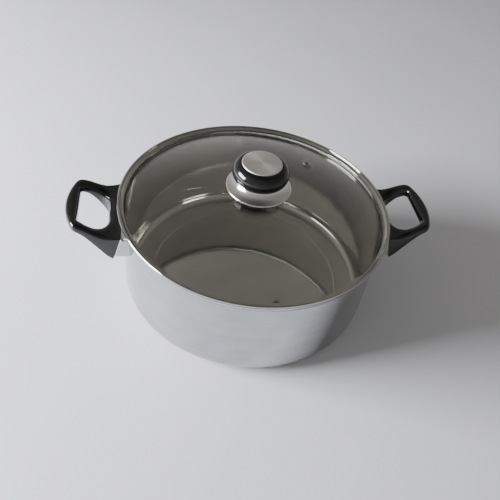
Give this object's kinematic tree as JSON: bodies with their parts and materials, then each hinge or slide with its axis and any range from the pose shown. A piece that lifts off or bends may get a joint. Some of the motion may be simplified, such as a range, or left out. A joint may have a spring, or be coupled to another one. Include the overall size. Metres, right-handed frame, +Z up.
{
  "type": "water bath canner",
  "caption": "Wide low steel pot with a bonded base, two black loop handles on steel brackets and a domed glass lid with a steel band, a vent and a round knob.",
  "frame": {"origin": "centre of the underside of the base, on the table", "axes": "+Z up along the pot's axis, X through the two handles, +Y horizontal and square to them"},
  "size_m": [0.3656, 0.27, 0.1574],
  "materials": {
    "polished_steel": "polished",
    "brushed_steel": "brushed",
    "fixing_steel": "satin",
    "aluminium_core": "satin",
    "phenolic": "gloss",
    "lid_glass": "clear",
    "silicone": "matte",
    "brass": "satin"
  },
  "bodies": {
    "pot": {"pot_shell": "polished_steel", "base_cap": "polished_steel", "base_core": "aluminium_core", "left_handle_grip": "phenolic", "left_handle_bracket": "polished_steel", "left_handle_stud": "fixing_steel", "left_handle_washer": "fixing_steel", "left_handle_screw": "fixing_steel", "right_handle_grip": "phenolic", "right_handle_bracket": "polished_steel", "right_handle_stud": "fixing_steel", "right_handle_washer": "fixing_steel", "right_handle_screw": "fixing_steel"},
    "lid": {"lid_glass": "lid_glass", "lid_band": "polished_steel", "lid_edge_seal": "silicone", "vent_eyelet": "polished_steel", "knob_skirt": "polished_steel", "knob_body": "phenolic", "knob_cap": "brushed_steel", "knob_insert": "brass", "knob_upper_gasket": "silicone", "knob_lower_gasket": "silicone", "knob_washer": "fixing_steel", "knob_screw": "fixing_steel"}
  },
  "joints": [
    {"name": "lid_lift", "type": "slide", "parent": "pot", "child": "lid", "axis": [0, 0, 1], "range_m": [0, 0.15]}
  ]
}
